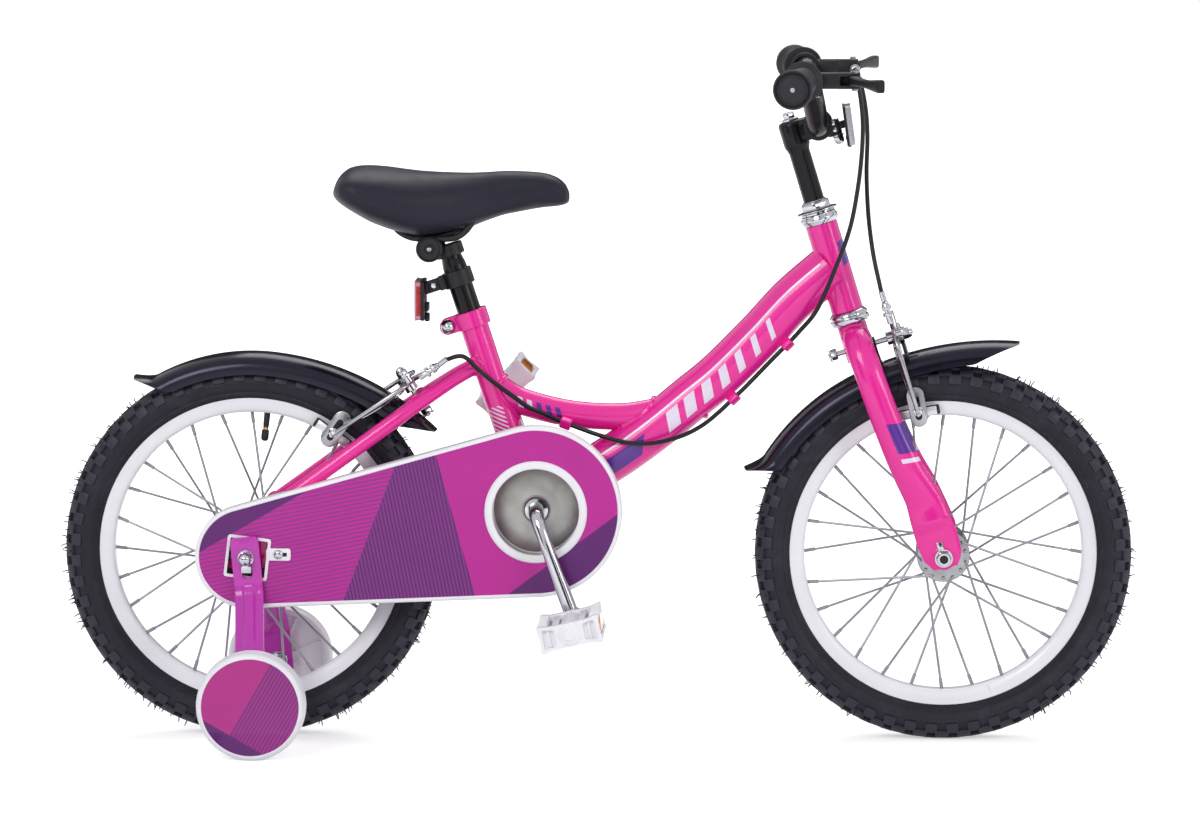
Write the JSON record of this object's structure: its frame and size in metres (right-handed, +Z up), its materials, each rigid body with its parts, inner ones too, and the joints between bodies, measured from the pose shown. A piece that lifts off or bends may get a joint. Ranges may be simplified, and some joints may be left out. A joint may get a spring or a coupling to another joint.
{
  "type": "children's bicycle with stabilisers",
  "caption": "Child's bicycle with a curved step-through frame, spoked wheels, stabilisers on angled arms, chain guard, mudguards, caliper brakes, reflectors and a padded saddle.",
  "frame": {"origin": "on the ground under the middle of the bicycle, midway between the two wheel axles", "axes": "+X the way it rides, +Y its left side, +Z up"},
  "size_m": [1.1352, 0.5228, 0.7281],
  "materials": {
    "pink_paint": "gloss",
    "magenta_paint": "gloss",
    "guard_plastic": "printed gloss",
    "white_paint": "gloss",
    "white_plastic": "satin",
    "tyre": "matt",
    "grip_rubber": "matt",
    "black_plastic": "gloss",
    "black_paint": "gloss",
    "chrome": "bright",
    "steel": "satin",
    "clear_lens": "prismatic",
    "red_lens": "prismatic",
    "saddle_vinyl": "satin vinyl"
  },
  "bodies": {
    "frame": {"frame": "pink_paint", "headset_lower_cup": "chrome", "headset_upper_cup": "chrome", "bottom_bracket_cup_right": "steel", "bottom_bracket_cup_left": "steel", "seat_clamp_collar": "pink_paint", "seat_clamp_bolt": "chrome", "rear_axle": "steel", "rear_axle_nut_right": "chrome", "rear_axle_nut_left": "chrome", "rear_mudguard": "black_plastic", "rear_brake_bolt": "chrome", "rear_brake_cable": "black_plastic", "chain_guard": "guard_plastic", "chain": "steel", "stabiliser_arm_right": "magenta_paint", "stabiliser_arm_left": "magenta_paint"},
    "fork": {"fork": "pink_paint", "headset_locknut": "chrome", "front_axle": "steel", "front_axle_nut_right": "chrome", "front_axle_nut_left": "chrome", "front_mudguard": "black_plastic", "front_brake_bolt": "chrome"},
    "bar": {"stem": "black_paint", "stem_bolt": "chrome", "handlebar": "black_paint", "grip_right": "grip_rubber", "grip_left": "grip_rubber", "brake_lever_bracket_right": "black_plastic", "brake_lever_bracket_left": "black_plastic", "front_reflector": "clear_lens", "front_brake_cable": "black_plastic"},
    "front_wheel": {"front_tyre": "tyre", "front_rim": "white_paint", "front_hub_and_spokes": "chrome", "front_valve": "grip_rubber"},
    "rear_wheel": {"rear_tyre": "tyre", "rear_rim": "white_paint", "rear_hub_and_spokes": "chrome", "rear_valve": "grip_rubber"},
    "crank": {"crank": "chrome", "chainring": "steel"},
    "rear_sprocket": {"rear_sprocket": "steel"},
    "pedal_right": {"pedal_right": "white_plastic"},
    "pedal_left": {"pedal_left": "white_plastic"},
    "stabiliser_wheel_right": {"stabiliser_wheel_right": "white_plastic"},
    "stabiliser_wheel_left": {"stabiliser_wheel_left": "white_plastic"},
    "lever_right": {"brake_lever_right": "black_plastic"},
    "lever_left": {"brake_lever_left": "black_plastic"},
    "front_arm_inner": {"front_brake_arm_inner": "chrome"},
    "front_arm_outer": {"front_brake_arm_outer": "chrome"},
    "rear_arm_inner": {"rear_brake_arm_inner": "chrome"},
    "rear_arm_outer": {"rear_brake_arm_outer": "chrome"},
    "seat": {"seat_post": "black_paint", "saddle_clamp": "black_paint", "rear_reflector": "red_lens"},
    "saddle": {"saddle_base": "black_plastic", "saddle_cover": "saddle_vinyl"}
  },
  "joints": [
    {"name": "steering", "type": "hinge", "parent": "frame", "child": "fork", "pos_m": [0.34601, 0, 0.19285], "axis": [-0.2924, 0, 0.9563], "range_deg": [-60, 60], "deforming": ["rear_brake_cable"]},
    {"name": "stem_height", "type": "slide", "parent": "fork", "child": "bar", "axis": [-0.2924, 0, 0.9563], "range_m": [-0.015, 0.03], "deforming": ["front_brake_cable"]},
    {"name": "front_wheel_spin", "type": "hinge", "parent": "fork", "child": "front_wheel", "pos_m": [0.368, 0, 0.19957], "axis": [0, 1, 0], "continuous": true},
    {"name": "rear_wheel_spin", "type": "hinge", "parent": "frame", "child": "rear_wheel", "pos_m": [-0.368, 0, 0.19957], "axis": [0, 1, 0], "continuous": true},
    {"name": "crank_spin", "type": "hinge", "parent": "frame", "child": "crank", "pos_m": [-0.062, 0, 0.249], "axis": [0, 1, 0], "continuous": true, "deforming": ["chain"]},
    {"name": "rear_sprocket_spin", "type": "hinge", "parent": "frame", "child": "rear_sprocket", "pos_m": [-0.368, 0, 0.19957], "axis": [0, 1, 0], "continuous": true},
    {"name": "pedal_right_spin", "type": "hinge", "parent": "crank", "child": "pedal_right", "pos_m": [-0.02087, -0.15, 0.1384], "axis": [0, 1, 0], "continuous": true},
    {"name": "pedal_left_spin", "type": "hinge", "parent": "crank", "child": "pedal_left", "pos_m": [-0.10313, 0.14, 0.3596], "axis": [0, 1, 0], "continuous": true},
    {"name": "stabiliser_wheel_right_spin", "type": "hinge", "parent": "frame", "child": "stabiliser_wheel_right", "pos_m": [-0.35475, -0.161, 0.0563], "axis": [0, 1, 0], "continuous": true},
    {"name": "stabiliser_wheel_left_spin", "type": "hinge", "parent": "frame", "child": "stabiliser_wheel_left", "pos_m": [-0.35475, 0.161, 0.0563], "axis": [0, 1, 0], "continuous": true},
    {"name": "lever_right_pull", "type": "hinge", "parent": "bar", "child": "lever_right", "pos_m": [0.27115, -0.136, 0.70769], "axis": [0, 0, -1], "range_deg": [0, 18], "stiffness_Nm_per_rad": 0.8, "springref_deg": -8.59},
    {"name": "lever_left_pull", "type": "hinge", "parent": "bar", "child": "lever_left", "pos_m": [0.27115, 0.136, 0.70769], "axis": [0, 0, 1], "range_deg": [0, 18], "stiffness_Nm_per_rad": 0.8, "springref_deg": -8.59},
    {"name": "front_arm_inner_close", "type": "hinge", "parent": "fork", "child": "front_arm_inner", "pos_m": [0.31651, 0, 0.42957], "axis": [0.9563, 0, 0.2924], "range_deg": [0, 1.4]},
    {"name": "front_arm_outer_close", "type": "hinge", "parent": "fork", "child": "front_arm_outer", "pos_m": [0.31651, 0, 0.42957], "axis": [-0.9563, 0, -0.2924], "range_deg": [0, 1.4]},
    {"name": "rear_arm_inner_close", "type": "hinge", "parent": "frame", "child": "rear_arm_inner", "pos_m": [-0.2015, 0, 0.378], "axis": [0.5547, 0, -0.8321], "range_deg": [0, 1.4]},
    {"name": "rear_arm_outer_close", "type": "hinge", "parent": "frame", "child": "rear_arm_outer", "pos_m": [-0.2015, 0, 0.378], "axis": [-0.5547, 0, 0.8321], "range_deg": [0, 1.4]},
    {"name": "seat_height", "type": "slide", "parent": "frame", "child": "seat", "axis": [-0.3107, 0, 0.9505], "range_m": [-0.015, 0.06]},
    {"name": "saddle_tilt", "type": "hinge", "parent": "seat", "child": "saddle", "pos_m": [-0.1766, 0, 0.52276], "axis": [0, 1, 0], "range_deg": [-10, 12]}
  ],
  "couplings": [
    {"joint": "rear_sprocket_spin", "follows": "crank_spin", "ratio": 1.7778},
    {"joint": "front_arm_inner_close", "follows": "lever_left_pull", "ratio": 0.075},
    {"joint": "front_arm_outer_close", "follows": "lever_left_pull", "ratio": 0.075},
    {"joint": "rear_arm_inner_close", "follows": "lever_right_pull", "ratio": 0.075},
    {"joint": "rear_arm_outer_close", "follows": "lever_right_pull", "ratio": 0.075}
  ]
}
